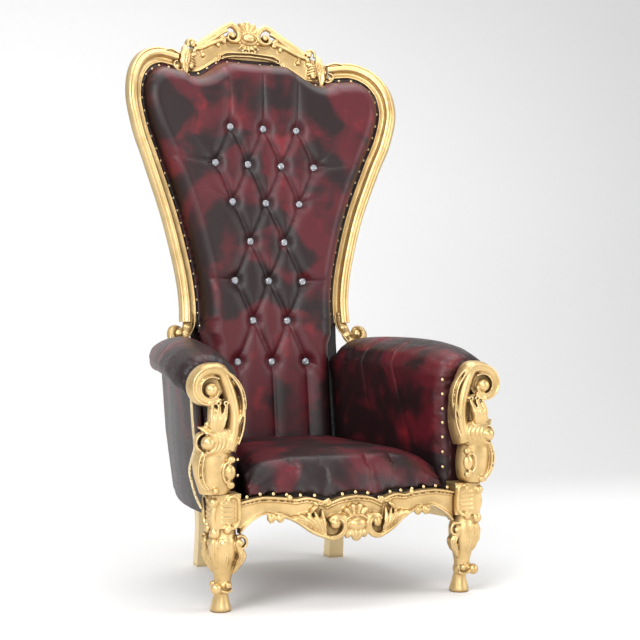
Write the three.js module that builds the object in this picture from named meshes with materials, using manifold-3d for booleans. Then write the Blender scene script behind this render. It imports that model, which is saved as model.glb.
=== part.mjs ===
// A tall carved throne: gilded frame, deep-buttoned back, rolled arms and a crowned seat.
// Millimetres, +Z up. The sitter looks along -Y and X = 0 is the plane of symmetry.
// Lengths along Y are taken from the working line of the frame; the whole chair is centred last.

import * as THREE from 'three';
import { mergeVertices } from 'three/addons/utils/BufferGeometryUtils.js';
import Module from 'manifold-3d';

const wasm = await Module();
wasm.setup();

// ---------------------------------------------------------------- driving dimensions

const GAP = 0.4; // clearance between pieces that touch

// The face of the back frame is a drum surface, leaning backwards
const BACK = { bend: 700, rake: 0.16, y: 390, z: 730 };
const MOULDING = { width: 54, depth: 34 };
const VOLUTE = { u: 316, v: 730, ring: 27, eye: 14 };
// Centre line of the right stile, from the volute at its foot to the crest rail
const STILE = [
  [268, 765], [268, 845], [286, 956], [332, 1119], [399, 1282], [438, 1364],
  [464, 1446], [467, 1500], [452, 1554], [412, 1603], [352, 1630], [275.8, 1629],
];

const CREST = { halfSpan: 274, barHalf: 92, barZ: 1671, eyeU: 59, eyeV: 1739 };

const SEAT = {
  halfFront: 301, halfBack: 204, setBack: 4, backY: 280, frontTop: 384, backTop: 394, crown: 12, pinch: 26,
  lift: 3.2,
};

const ARM = { frontY: -311, backY: 282, bottom: 262, roll: 62, padClear: 680, top: 740, eaves: 675 };

const APRON = { halfSpan: 311, face: -362, bow: 36, bowHalf: 210, thick: 30 };

const POST = { face: -385, depth: 72, foot: 311.4 };
const SCROLL = { u: 394, v: 582, eye: 17 };

const LEG = { x: 350, y: -335, top: 311, blockHalf: 38.5, blockBack: -23 };
const REAR_LEG = { x: 221, y: 317, side: 48, top: 262, lean: 14 };
const RAIL = { foot: 204, top: 262, thick: 24, frontX: 345, backX: 226, backRun: [296, 342] };
const LINING = { foot: 252, top: 261, front: -310, back: 282 };

const BUTTON = { radius: 10.5, height: 12, girdle: 6.4, lift: 1.4 };
// Tufting rows from the top down: height and the distances of the buttons from the middle
const TUFTING = [
  [1400, [0, 114]], [1278, [57, 169]], [1153, [0, 114]], [1025, [58]],
  [898, [0, 115]], [770, [58]], [638, [0, 115]],
];

// ---------------------------------------------------------------- finishes

const finish = (color, roughness, metalness) =>
  () => new THREE.MeshStandardMaterial({ color, roughness, metalness });
const gilding = finish(0xc9993f, 0.34, 0.9);
const leather = finish(0x571820, 0.38, 0.0);
const lining = finish(0x1c1718, 0.9, 0.0);
const crystal = finish(0xf2f4f6, 0.05, 0.1);

// ---------------------------------------------------------------- working with solids

const chair = new THREE.Group();

// Turn a closed geometry into a solid, with its faces pointing out
function solid(geometry) {
  const shell = geometry.clone();
  shell.deleteAttribute('normal');
  shell.deleteAttribute('uv');
  const merged = mergeVertices(shell, 1e-3);
  const vertProperties = new Float32Array(merged.attributes.position.array);
  const triVerts = new Uint32Array(merged.index.array);
  const corner = [new THREE.Vector3(), new THREE.Vector3(), new THREE.Vector3()];
  let volume = 0;
  for (let i = 0; i < triVerts.length; i += 3) {
    corner.forEach((point, k) => point.fromArray(vertProperties, 3 * triVerts[i + k]));
    volume += corner[0].dot(corner[1].cross(corner[2]));
  }
  if (volume < 0) {
    for (let i = 0; i < triVerts.length; i += 3) {
      [triVerts[i], triVerts[i + 1]] = [triVerts[i + 1], triVerts[i]];
    }
  }
  return new wasm.Manifold(new wasm.Mesh({ numProp: 3, vertProperties, triVerts }));
}

const join = (solids) => solids.reduce((sum, next) => sum.add(next));

// The solid's surface as a geometry, each point carried to its place by the given map
function surface(body, place = (point) => point) {
  const mesh = body.getMesh();
  const geometry = new THREE.BufferGeometry();
  const positions = new Float32Array(mesh.vertProperties);
  const point = new THREE.Vector3();
  for (let i = 0; i < positions.length; i += 3) {
    place(point.fromArray(positions, i)).toArray(positions, i);
  }
  geometry.setAttribute('position', new THREE.BufferAttribute(positions, 3));
  geometry.setIndex(new THREE.BufferAttribute(new Uint32Array(mesh.triVerts), 1));
  geometry.computeVertexNormals();
  return geometry;
}

// The same surface on the other side of X = 0
function mirrored(geometry) {
  const copy = geometry.clone().scale(-1, 1, 1);
  const index = copy.index.array;
  for (let i = 0; i < index.length; i += 3) {
    [index[i], index[i + 1]] = [index[i + 1], index[i]];
  }
  copy.computeVertexNormals();
  return copy;
}

function addPiece(name, geometry, material) {
  const mesh = new THREE.Mesh(geometry, material());
  mesh.name = name;
  chair.add(mesh);
}

// Right-hand pieces lie at +X; the sitter's left is the same side, so names follow the sitter
function addPair(name, geometry, material) {
  addPiece(`${name}_left`, geometry, material);
  addPiece(`${name}_right`, mirrored(geometry), material);
}

// ---------------------------------------------------------------- the carver's forms
// All are made in the flat of a board: u across, v up, w out of its face.

// Where a value lies on a curve through the given stations, for t from 0 to 1
function through(stations) {
  const curve = new THREE.CatmullRomCurve3(
    stations.map(([a, b = 0, c = 0]) => new THREE.Vector3(a, b, c)), false, 'centripetal');
  return (t) => curve.getPoint(t);
}

function ball(u, v, w, radius, [su, sv, sw] = [1, 1, 1]) {
  const sphere = new THREE.SphereGeometry(radius, 6, 5);
  return solid(sphere.scale(su, sv, sw).translate(u, v, w));
}

const bead = (u, v, w, radius) => {
  const [sides, rows] = radius > 12 ? [5, 3] : [4, 2];
  const sphere = new THREE.SphereGeometry(radius, sides, rows);
  return solid(sphere.rotateX(Math.PI / 2).translate(u, v, w));
};

function drum(u, v, w0, w1, radius) {
  const barrel = new THREE.CylinderGeometry(radius, radius, w1 - w0, 8);
  return solid(barrel.rotateX(Math.PI / 2).translate(u, v, (w0 + w1) / 2));
}

// A bar whose centre follows path(t), with a closed section drawn by section(k, t) as
// [across, outward] for each of its sides
function sweep(path, section, sides, steps) {
  const rod = new THREE.CylinderGeometry(1, 1, 1, sides, steps);
  const position = rod.attributes.position;
  const out = new THREE.Vector3(0, 0, 1);
  for (let i = 0; i < position.count; i += 1) {
    const [x, y, z] = [position.getX(i), position.getY(i), position.getZ(i)];
    const t = y + 0.5;
    const here = path(t);
    const along = path(Math.min(1, t + 0.01)).sub(path(Math.max(0, t - 0.01))).normalize();
    const across = along.clone().cross(out).normalize();
    const outward = across.clone().cross(along);
    if (Math.hypot(x, z) > 0.5) {
      const k = Math.round((Math.atan2(x, z) / (2 * Math.PI)) * sides + sides) % sides;
      const [a, b] = section(k, t);
      here.addScaledVector(across, a).addScaledVector(outward, b);
    }
    position.setXYZ(i, here.x, here.y, here.z);
  }
  return solid(rod);
}

// A rounded bar; half(t) gives its half width and half thickness
function bar(points, half, { sides = 6, steps = 8 } = {}) {
  const section = (k, t) => {
    const angle = (2 * Math.PI * k) / sides;
    const [a, b] = half(t);
    return [a * Math.cos(angle), b * Math.sin(angle)];
  };
  return sweep(through(points), section, sides, steps);
}

// A leaf: it swells from a narrow stem and runs out to a point
function leaf(points, width, thick, { sides = 5, steps = 5 } = {}) {
  const swell = (t) => 0.12 + 0.88 * Math.sin(Math.PI * Math.min(1, 0.12 + 0.86 * t)) ** 0.8;
  return bar(points, (t) => [0.5 * width * swell(t), 0.5 * thick * swell(t)], { sides, steps });
}

// Points of a spiral round (u, v): the radius goes from r0 to r1 while it turns
function spiral(u, v, w, r0, r1, start, turn, count = 7) {
  return Array.from({ length: count }, (_, i) => {
    const t = i / (count - 1);
    const angle = start + turn * t;
    const radius = r0 + (r1 - r0) * t;
    return [u + radius * Math.cos(angle), v + radius * Math.sin(angle), w];
  });
}

// A slab on a grid: place(i, j, face) gives each point, i and j from 0 to 1, face 0 at the back
function slab(nu, nv, place) {
  const block = new THREE.BoxGeometry(1, 1, 1, nu, nv, 1);
  const position = block.attributes.position;
  for (let n = 0; n < position.count; n += 1) {
    const [i, j, k] = [position.getX(n), position.getY(n), position.getZ(n)].map((c) => c + 0.5);
    position.setXYZ(n, ...place(i, j, Math.round(k)));
  }
  return solid(block);
}

const box = (u0, u1, v0, v1, w0, w1) =>
  slab(1, 1, (i, j, k) => [u0 + (u1 - u0) * i, v0 + (v1 - v0) * j, w0 + (w1 - w0) * k]);

// A scallop of fluted lobes fanned round (u, v): radii r0 to r1, thickness from the back plane
function scallop(u, v, back, [start, turn], lobes, [r0, r1], [rim, crest], flatten = 1) {
  const stepsPerLobe = 2;
  return slab(lobes * stepsPerLobe, 1, (i, j, k) => {
    const angle = start + turn * i;
    const lobe = Math.abs(Math.sin(Math.PI * lobes * i));
    const reach = lerp(r0, r1 * (0.86 + 0.14 * lobe), j);
    const front = lerp(rim, crest, lobe) * (1 - 0.3 * j);
    return [u + reach * Math.cos(angle), v + flatten * reach * Math.sin(angle), k ? front : back];
  });
}

const flip = (body) => solid(surface(body).scale(-1, 1, 1));
const bothSides = (body) => [body, flip(body)];

const lerp = THREE.MathUtils.lerp;
const smooth = THREE.MathUtils.smoothstep;
const DEGREE = Math.PI / 180;

// ---------------------------------------------------------------- where the boards lie

const backY = (z) => BACK.y + BACK.rake * (z - BACK.z);

// Wrap a flat board round the drum of the back; u is measured along the bend
function ontoBack(point) {
  const turn = point.x / BACK.bend;
  const reach = BACK.bend - point.z;
  const y = backY(point.y) - BACK.bend + reach * Math.cos(turn);
  return point.set(reach * Math.sin(turn), y, point.y);
}

// The apron bows forward in the middle
const apronFace = (x) => {
  const part = Math.min(1, Math.abs(x) / APRON.bowHalf);
  return APRON.face - APRON.bow * Math.cos((Math.PI / 2) * part) ** 2;
};
const ontoApron = (point) => point.set(point.x, apronFace(point.x) - point.z, point.y);

const ontoPost = (point) => point.set(point.x, POST.face - point.z, point.y);
const ontoLeg = (point) => point.set(LEG.x + point.x, LEG.y - point.z, point.y);

// ---------------------------------------------------------------- back stiles

// Section of the moulding from the back edge round the face: inner lip, cove, round, outer lip
const MOULDING_SECTION = [
  [-1, -0.8], [-0.92, 0.5], [-0.5, 0.15], [0.2, 1.0], [0.65, 0.95], [0.95, -0.1], [1, -0.8],
];
const moulding = (oversize) => (k) => {
  const [a, b] = MOULDING_SECTION[k];
  const grow = (value) => oversize * Math.sign(value);
  return [0.5 * MOULDING.width * a + grow(a), 0.5 * MOULDING.depth * b + grow(b)];
};
const stileBar = (oversize = 0) =>
  sweep(through(STILE), moulding(oversize), MOULDING_SECTION.length, 13);

function stile() {
  const { u, v, ring, eye } = VOLUTE;
  const turns = spiral(u, v, -3, ring + 4, ring - 12, 205 * DEGREE, 300 * DEGREE);
  const curl = bar([[266, 800, -3], [266, 760, -3], ...turns],
    (t) => [lerp(16, 6, t), lerp(15, 12, t)], { sides: 4, steps: 8 });
  return join([stileBar(), curl, drum(u, v, -20, 2, 20), bead(u, v, 6, eye)]);
}

addPair('back_stile', surface(stile(), ontoBack), gilding);

// Inner edge of the stile as points (u, v), from the waist up and over the shoulder
const innerEdge = Array.from({ length: 61 }, (_, n) => {
  const path = through(STILE);
  const t = n / 60;
  const along = path(Math.min(1, t + 0.01)).sub(path(Math.max(0, t - 0.01))).normalize();
  const reach = 0.5 * MOULDING.width + GAP;
  return path(t).add(new THREE.Vector3(-along.y, along.x, 0).multiplyScalar(reach));
});
const shoulder = innerEdge.reduce((best, point, n) => (point.x > innerEdge[best].x ? n : best), 0);
const lookUp = (points, from, to, x) => {
  const after = Math.max(1, points.findIndex((point) => from(point) >= x));
  const beyond = x >= from(points[points.length - 1]);
  const [a, b] = beyond ? points.slice(-2) : points.slice(after - 1, after + 1);
  const part = (x - from(a)) / (from(b) - from(a));
  return lerp(to(a), to(b), Math.min(1, Math.max(0, part)));
};
const flank = innerEdge.slice(0, shoulder + 1);
const crown = innerEdge.slice(shoulder).reverse();
const innerU = (v) => lookUp(flank, (p) => p.y, (p) => p.x, v);
const innerV = (u) => lookUp(crown, (p) => p.x, (p) => p.y, u);

// ---------------------------------------------------------------- crest rail

const crestFoot = (u) =>
  1652 - 64 * smooth(Math.abs(u), CREST.barHalf, 226) + 14 * smooth(Math.abs(u), 232, 262);
const crestHead = (u) =>
  1742 - 66 * smooth(Math.abs(u), 60, 205) - 24 * smooth(Math.abs(u), 215, 250);

const crestPlate = (oversize) => slab(12, 1, (i, j, k) => {
  const u = lerp(-CREST.halfSpan, CREST.halfSpan, i);
  const v = lerp(crestFoot(u) - oversize, crestHead(u), j);
  return [u, v, lerp(-14 - oversize, 2 + oversize, k)];
});

function crestRail() {
  const { barHalf, barZ, eyeU, eyeV } = CREST;
  const plate = crestPlate(0);
  const barPoints = [[-barHalf - 8, barZ - 11, 6], [-barHalf + 6, barZ - 2, 8], [0, barZ + 3, 8],
    [barHalf - 6, barZ - 2, 8], [barHalf + 8, barZ - 11, 6]];
  const footBar = bar(barPoints, () => [7, 8], { sides: 4, steps: 6 });

  const side = [
    // the upper rib rises as a horn and winds in over the eye
    bar([[196, 1690, 2], [130, 1735, 6],
      ...spiral(eyeU + 5, eyeV + 3, 8, 34, 21, 78 * DEGREE, 230 * DEGREE, 6)],
      (t) => [lerp(6, 7.5, Math.sin(Math.PI * t)), 10], { sides: 4, steps: 8 }),
    // the lower rib runs under it to the flower
    bar([[200, 1676, 2], [165, 1688, 4], [104, 1722, 6]], () => [7, 9], { sides: 4, steps: 2 }),
    bead(eyeU, eyeV, 10, 13),
    bead(98, 1727, 4, 16),
    // scroll at the side of the crest
    bar(spiral(213, 1690, 2, 17, 9, -20 * DEGREE, 250 * DEGREE, 6), () => [6, 12], { sides: 4, steps: 4 }),
    bead(213, 1692, 8, 10),
    bead(222, 1612, 8, 12),
    // acanthus over the joint with the stile
    leaf([[250, 1612, 6], [243, 1650, 12], [238, 1684, 10]], 40, 24, { steps: 3 }),
    leaf([[246, 1640, 10], [248, 1600, 12], [246, 1566, 10]], 30, 22, { steps: 3 }),
  ];

  const collar = scallop(0, 1727, -16, [190 * DEGREE, 160 * DEGREE], 5, [12, 43], [6, 11], 0.8);
  const cabochon = ball(0, 1734, 10, 24, [1, 0.66, 0.6]);
  const palmette = scallop(0, 1750, -14, [10 * DEGREE, 160 * DEGREE], 5, [8, 50], [3, 12]);
  const centre = [collar, cabochon, palmette, box(-30, 30, 1722, 1758, -16.5, 0)];
  const carved = join([plate, footBar, ...centre, ...side.flatMap(bothSides)]);

  // the slot pierced through each horn, and room for the ends of the stiles
  const slot = bar([[152, 1704, 0], [118, 1731, 0]], () => [5, 40], { sides: 4, steps: 1 });
  return bothSides(slot.add(stileBar(GAP))).reduce((left, cut) => left.subtract(cut), carved);
}

const biggest = (body) => body.decompose().sort((a, b) => b.volume() - a.volume())[0];
addPiece('crest_rail', surface(biggest(crestRail()), ontoBack), gilding);

// ---------------------------------------------------------------- tufted back

const PAD = {
  foot: 396, back: -8, column: 57.5, crown: 26, edge: 4, tip: 1558, shoulder: 1530, betweenArms: 211,
};
const padHead = (u) => (Math.abs(u) < 236 ? crestFoot(u) + 5 : innerV(Math.abs(u)) - 1.6);
// Half width of the back: between the arms it is narrower than between the stiles
const padHalf = (v) =>
  lerp(PAD.betweenArms, innerU(Math.max(v, STILE[0][1])) - 1.6, smooth(v, ARM.padClear, ARM.top));
// The bottom of the tufting, where the buttons pull the leather in
const tuftY = (x, z) => 300 + 0.115 * (z - 638) - 0.0003 * x * x;
const rowsBelow = TUFTING.map(([z]) => z).reverse();
const padRows = [PAD.foot, 530, ...rowsBelow.flatMap((z, n) =>
  (n ? [(z + rowsBelow[n - 1]) / 2, z] : [z]))];
const HEAD_ROWS = 2;
const COLUMNS = 5;

const isButton = (x, z) => TUFTING.some(([row, places]) =>
  Math.abs(row - z) < 1 && places.some((place) => Math.abs(place - Math.abs(x)) < 4));

function padPoint(column, row, face) {
  const side = Math.sign(column);
  const n = Math.abs(column);
  const last = padRows.length - 1;
  const z0 = padRows[Math.min(row, last)];
  const rise = Math.max(0, row - last) / HEAD_ROWS;
  const half = padHalf(lerp(z0, PAD.shoulder, rise));
  const inner = 3 * PAD.column;
  const u = n <= 3 ? n * PAD.column : lerp(inner, half, n === COLUMNS ? 1 : lerp(0.5, 0.8, rise));
  const z = lerp(z0, padHead(u), rise);
  const edge = Math.max((u / half) ** 6, smooth(rise, 0.2, 1), 0);
  const back = ontoBack(new THREE.Vector3(side * u, z, PAD.back));
  if (face === 0) return back.toArray();
  const front = ontoBack(new THREE.Vector3(side * u, z, PAD.edge));
  const x = front.x;
  const puff = isButton(x, z) ? 0 : PAD.crown * (row <= last && (row - 2) % 2 !== 0 ? 0.75 : 1);
  front.y = lerp(tuftY(x, z) - puff, front.y, edge);
  return front.toArray();
}

const padSteps = padRows.length - 1 + HEAD_ROWS;
const pad = slab(2 * COLUMNS, padSteps, (i, j, k) =>
  padPoint(Math.round(2 * COLUMNS * i) - COLUMNS, Math.round(padSteps * j), k));
// It stops under the crest plate, and lies flatter behind the acanthus that hangs over it
const acanthusBed = bothSides(box(208, 288, PAD.tip, 1700, -2, 60));
const padCut = solid(surface(join([crestPlate(3 * GAP), ...acanthusBed]), ontoBack));
addPiece('inside_back', surface(biggest(pad.subtract(padCut))), leather);

const gem = new THREE.LatheGeometry(
  [[0, 0], [BUTTON.radius, BUTTON.girdle], [0, BUTTON.height]]
    .map(([r, h]) => new THREE.Vector2(r, h)), 6);
const gemSurface = surface(solid(gem.rotateX(Math.PI)));
TUFTING.forEach(([z, places], row) => {
  const across = places.flatMap((x) => (x ? [-x, x] : [0])).sort((a, b) => a - b);
  across.forEach((x, n) => {
    const seat = tuftY(x, z) - BUTTON.lift;
    addPiece(`button_${row + 1}_${n + 1}`, gemSurface.clone().translate(x, seat, z), crystal);
  });
});

// ---------------------------------------------------------------- outside back

// A flat panel fixed behind the stiles and the crest, lapping a little over them
const OUTSIDE = { front: -18.6, back: -23.6, lap: 6 };
const OUTSIDE_ROWS = [REAR_LEG.top + GAP, 700, 900, 1100, 1280, 1440];
const outsideSteps = OUTSIDE_ROWS.length;
const outsideBack = slab(8, outsideSteps, (i, j, k) => {
  const t = 2 * i - 1;
  const row = Math.round(j * outsideSteps);
  const z0 = row < outsideSteps ? OUTSIDE_ROWS[row] : PAD.shoulder;
  const reach = innerU(Math.max(z0, STILE[0][1])) + OUTSIDE.lap;
  const u = Math.sign(t) * Math.abs(t) ** 0.8 * reach;
  const z = row < outsideSteps ? z0 : padHead(u) + OUTSIDE.lap;
  return ontoBack(new THREE.Vector3(u, z, lerp(OUTSIDE.back, OUTSIDE.front, k))).toArray();
});
addPiece('outside_back', surface(outsideBack), leather);

// ---------------------------------------------------------------- apron

// Stations along the right half of the apron: distance, top edge and bottom edge
const APRON_EDGE = [
  [0, 296, 196], [40, 291, 190], [76, 275, 184], [88, 283, 187], [127, 293, 208], [158, 289, 231],
  [183, 293, 245], [245, 298, 245], [285, 293, 222], [APRON.halfSpan - GAP, 288, 202],
];
const apronStations = [
  ...APRON_EDGE.slice(1).reverse().map(([u, top, foot]) => [-u, top, foot]), ...APRON_EDGE,
];
const apronSteps = apronStations.length - 1;

function apron() {
  const plate = slab(apronSteps, 2, (i, j, k) => {
    const [u, top, foot] = apronStations[Math.round(i * apronSteps)];
    const row = Math.round(2 * j);
    const v = [foot, top - 10, top][row];
    return [u, v, k ? [0, -3, 6][row] : -APRON.thick];
  });
  const half = [
    bead(177, 290, 6, 9),
    bead(203, 240, 2, 10),
    bead(228, 241, 2, 10),
    // the sweep along the bottom edge winds up into the big volute
    bar([[186, 244, 0], [150, 226, 3], [116, 203, 5],
      ...spiral(62, 222, 8, 38, 16, -60 * DEGREE, -250 * DEGREE, 6)],
      (t) => [lerp(5, 9, Math.sin(Math.PI * t)), 10], { sides: 4, steps: 8 }),
    bead(60, 223, 8, 14),
    // acanthus fronds rising off the sweep
    scallop(84, 190, -4, [22 * DEGREE, 62 * DEGREE], 3, [34, 86], [2, 11]),
  ];
  const shell = scallop(0, 222, -4, [8 * DEGREE, 164 * DEGREE], 5, [22, 54], [3, 12]);
  const drop = leaf([[0, 214, 4], [0, 198, 12], [0, 175, 6]], 44, 22, { sides: 5, steps: 3 });
  return join([plate, ball(0, 221, 10, 27, [1, 0.66, 0.6]), shell, drop, ...half.flatMap(bothSides)]);
}
addPiece('front_rail', surface(biggest(apron()), ontoApron), gilding);

// ---------------------------------------------------------------- front legs

// Stations up the leg: height, half width, and how far it stands out from the working line
const LEG_STATIONS = [
  [-3, 27, -17], [26, 24, -16], [50, 19, -14], [57, 22, -4], [78, 25, -1], [98, 25, 1],
  [126, 31, 2], [152, 38, 4], [184, 39, 4], [208, 36, 4], [228, 33, 3],
];

// The leg is the same about its diagonal, so a form on its front face repeats on its outer face
const acrossDiagonal = (body) => solid(surface(body, (p) => p.set(p.z, p.y, p.x)));
const bothFaces = (body) => [body, acrossDiagonal(body)];

function frontLeg() {
  const line = through(LEG_STATIONS.map(([v, , w]) => [0, v, w]));
  const girth = through(LEG_STATIONS.map(([, half]) => [half]));
  const section = (k, t) => {
    const angle = ((k + 0.5) * Math.PI) / 4;
    const reach = girth(t).x * 1.08;
    return [reach * Math.cos(angle), reach * Math.sin(angle)];
  };
  const shaft = sweep(line, section, 8, 9);
  const half = LEG.blockHalf;
  const block = box(-half, half, 222, LEG.top, LEG.blockBack, half);
  const panelRibs = slab(1, 6, (i, j, k) => [
    lerp(-20, 12, i), lerp(238, 286, j), k ? half + 3 * (Math.round(6 * j) % 2) : half - 3]);
  const faces = [
    // C-scroll beside the panel of ribs, and the ball it ends on
    bar([[-8, 303, 40], [-24, 300, 40], [-31, 270, 40], [-31, 240, 40], [-14, 222, 40]],
      () => [6, 7], { sides: 4, steps: 3 }),
    bead(-2, 219, 38, 12),
    bar(spiral(-37, 183, 36, 19, 10, 60 * DEGREE, 250 * DEGREE, 5), () => [5, 9], { sides: 4, steps: 3 }),
    bead(-36, 182, 40, 12),
    leaf([[-32, 168, 36], [-47, 148, 34], [-22, 108, 22]], 22, 16, { sides: 4, steps: 3 }),
    bead(-8, 74, 24, 10),
  ];
  const diagonal = [
    bead(32, 211, 32, 16),
    bead(25, 67, 23, 16),
    bead(36, 289, 36, 15),
  ];
  // cut flat at the floor and where the arm stands behind the block
  const floor = box(-90, 90, -50, 0, -90, 90);
  const behind = box(-90, 90, 230, 330, -90, LEG.blockBack);
  const carved = join([shaft, block, ...[panelRibs, ...faces].flatMap(bothFaces), ...diagonal]);
  return carved.subtract(floor).subtract(behind);
}
addPair('front_leg', surface(biggest(frontLeg()), ontoLeg), gilding);

// ---------------------------------------------------------------- arm posts

function armPost() {
  const { u, v, eye } = SCROLL;
  const mid = -POST.depth / 2;
  const girth = through([[36], [49], [54], [50], [44]]);
  const vaseLine = [[378, POST.foot], [376, 332], [380, 372], [383, 405], [378, 436]];
  const vase = sweep(through(vaseLine.map(([a, b]) => [a, b, mid])), (k, t) => {
    const angle = ((k + 0.5) * Math.PI) / 4;
    return [1.06 * girth(t).x * Math.cos(angle), 38 * Math.sin(angle)];
  }, 8, 5);
  const core = box(352, 400, 425, 556, -64, -14);
  // the big scroll climbs the inner side and winds outwards round its eye
  const scroll = bar([[346, 425, mid], [331, 468, mid], [329, 520, mid], [340, 572, mid],
    ...spiral(u, v, mid, 51, 24, 130 * DEGREE, -260 * DEGREE, 7)],
  (t) => [lerp(25, 8, t ** 0.8), 38], { sides: 6, steps: 9 });
  const barrel = drum(u, v, -POST.depth + 2, -16, 32);
  const shell = scallop(404, 446, -30, [104 * DEGREE, 150 * DEGREE], 4, [10, 78], [-3, 9], 0.62);
  const stalks = [[372, 356], [384, 376], [394, 392]].map(([from, to]) =>
    leaf([[from, 474, 0], [lerp(from, to, 0.4), 510, 4], [to, 548, -2]], 15, 16, { sides: 4, steps: 2 }));
  const sideScroll = bar(spiral(334, 366, 0, 38, 30, 84 * DEGREE, -170 * DEGREE, 5), () => [6, 8],
    { sides: 4, steps: 3 });
  return join([vase, core, scroll, barrel, ball(u, v, -4, eye), shell,
    bead(403, 446, 2, 19), ...stalks, bead(388, 528, -2, 9),
    sideScroll]);
}
const trimmedPost = armPost().subtract(box(250, 480, 280, POST.foot, -150, 80));
addPair('arm_post', surface(biggest(trimmedPost), ontoPost), gilding);

// ---------------------------------------------------------------- arms

// Stations along the arm: Y, inner face, outermost bulge of the roll, its top, outer face below it
const ARM_STATIONS = [
  [ARM.frontY, 309, 458, 662, 414], [-285, 301, 466, 678, 418], [-200, 290, 470, 696, 422],
  [-100, 274, 466, 708, 418], [0, 256, 454, 714, 406], [100, 238, 438, 717, 388],
  [200, 218, 421, 719, 366], [ARM.backY, 212, 402, 719, 350],
];
const armFaces = through(ARM_STATIONS.map(([y, inner, bulge]) => [y, inner, bulge]));
const armHeights = through(ARM_STATIONS.map(([, , , top, outer]) => [top, outer]));
const ARM_PANEL = 12;
const ARM_SIDES = 13;
const ARM_STEPS = 7;

// At the back the arm leans with the stiles, and its roll stops short under their volutes
const armLean = (z, t) => smooth(t, 0.8, 1) * (z < ARM.eaves ? BACK.rake * (z - ARM.bottom) : 6);

function armRing(k, t) {
  const [y, inner, bulge] = armFaces(t).toArray();
  const [top, outer] = armHeights(t).toArray();
  const stem = outer - ARM_PANEL - GAP;
  const roll = (angle) => [
    (inner + bulge) / 2 + 0.5 * (bulge - inner) * Math.cos(angle),
    top - ARM.roll + ARM.roll * Math.sin(angle)];
  const ring = [
    [inner + 2, ARM.bottom + GAP], [inner, 430], [inner - 2, 540],
    ...Array.from({ length: 8 }, (_, n) => roll((180 - 31 * n) * DEGREE)),
    [stem - 2, top - 104], [stem - 26, ARM.bottom + GAP],
  ];
  const [x, z] = ring[k];
  return [x, y + armLean(z, t), z];
}

function armPad() {
  const rod = new THREE.CylinderGeometry(1, 1, 1, ARM_SIDES, ARM_STEPS);
  const position = rod.attributes.position;
  for (let i = 0; i < position.count; i += 1) {
    const [a, height, b] = [position.getX(i), position.getY(i), position.getZ(i)];
    const t = height + 0.5;
    const k = Math.round((Math.atan2(a, b) / (2 * Math.PI)) * ARM_SIDES + ARM_SIDES) % ARM_SIDES;
    const heart = [lerp(armFaces(t).y, armHeights(t).y, 0.4), armFaces(t).x + armLean(520, t), 520];
    position.setXYZ(i, ...(Math.hypot(a, b) > 0.5 ? armRing(k, t) : heart));
  }
  return solid(rod);
}
addPair('arm_pad', surface(armPad()), leather);

const armPanel = slab(ARM_STEPS, 2, (i, j, k) => {
  const y = armFaces(i).x;
  const [top, outer] = armHeights(i).toArray();
  const z = lerp(ARM.bottom - 8, top - 108, j);
  const face = outer - [24, 6, 0][Math.round(2 * j)];
  return [face - (k ? 0 : ARM_PANEL), y + armLean(z, i), z];
});
addPair('arm_outside', surface(armPanel), leather);

// ---------------------------------------------------------------- seat

const seatRows = [0, 14, 54, 58, 170, 400, 660];
const railTop = (n) => apronStations[n][1];

const seatPad = slab(apronSteps, seatRows.length - 1, (i, j, k) => {
  const n = Math.round(i * apronSteps);
  const t = apronStations[n][0] / apronStations[apronSteps][0];
  const row = Math.round(j * (seatRows.length - 1));
  const run = seatRows[row];
  const part = run / seatRows[seatRows.length - 1];
  const half = lerp(SEAT.halfFront, SEAT.halfBack, part);
  const x = half * t;
  const y = lerp(apronFace(apronStations[n][0]) + SEAT.setBack, SEAT.backY, part);
  if (k === 0) return [x, y, run < APRON.thick * 2 - 4 ? railTop(n) + SEAT.lift : LINING.top + GAP];
  const fall = Math.max(0, 1 - run / 110) ** 3;
  const crown = SEAT.crown * (1 - t * t) * Math.sin(Math.PI * Math.min(1, part + 0.15));
  const flat = lerp(SEAT.frontTop, SEAT.backTop, part) + crown;
  return [x, y, lerp(flat - SEAT.pinch * Math.abs(t) ** 5 * (1 - part), railTop(n) + SEAT.lift + 5, fall)];
});
addPiece('seat', surface(seatPad), leather);

// ---------------------------------------------------------------- rails, rear legs, underside

const legBack = LEG.y - LEG.blockBack + 12;
const legFront = REAR_LEG.y - REAR_LEG.side / 2 - 6;
const sideRail = slab(1, 1, (i, j, k) => [
  lerp(RAIL.frontX, RAIL.backX, j) + (k ? 0.5 : -0.5) * RAIL.thick,
  lerp(legBack, legFront, j), lerp(RAIL.foot, RAIL.top, i)]);
addPair('side_rail', surface(sideRail), gilding);

const railEnd = REAR_LEG.x - REAR_LEG.side / 2 - 4;
const backRail = box(-railEnd, railEnd, ...RAIL.backRun, RAIL.foot, RAIL.top);
addPiece('back_rail', surface(backRail), gilding);

// A square leg that sweeps back a little and comes forward again at the floor
const rearLeg = slab(1, 6, (i, j, k) => {
  const sway = REAR_LEG.lean * Math.sin(Math.PI * j) - 6 * j;
  const half = (0.5 * REAR_LEG.side) * lerp(0.94, 1.04, Math.abs(2 * j - 1));
  return [REAR_LEG.x + (2 * i - 1) * half, REAR_LEG.y - sway + (2 * k - 1) * half, REAR_LEG.top * j];
});
addPair('rear_leg', surface(rearLeg), gilding);

const board = slab(1, 1, (i, j, k) => {
  const half = lerp(RAIL.frontX, RAIL.backX, j) - RAIL.thick / 2 - 2;
  return [half * (2 * i - 1), lerp(LINING.front, LINING.back, j), lerp(LINING.foot, LINING.top, k)];
});
addPiece('underside_board', surface(board), lining);

// ---------------------------------------------------------------- stand it on its middle

const extent = new THREE.Box3().setFromObject(chair, true);
const middle = extent.getCenter(new THREE.Vector3());
chair.position.set(-middle.x, -middle.y, -extent.min.z);

export default chair;
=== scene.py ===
import math

import bmesh
import bpy
import numpy as np
from mathutils import Matrix, Vector


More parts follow.
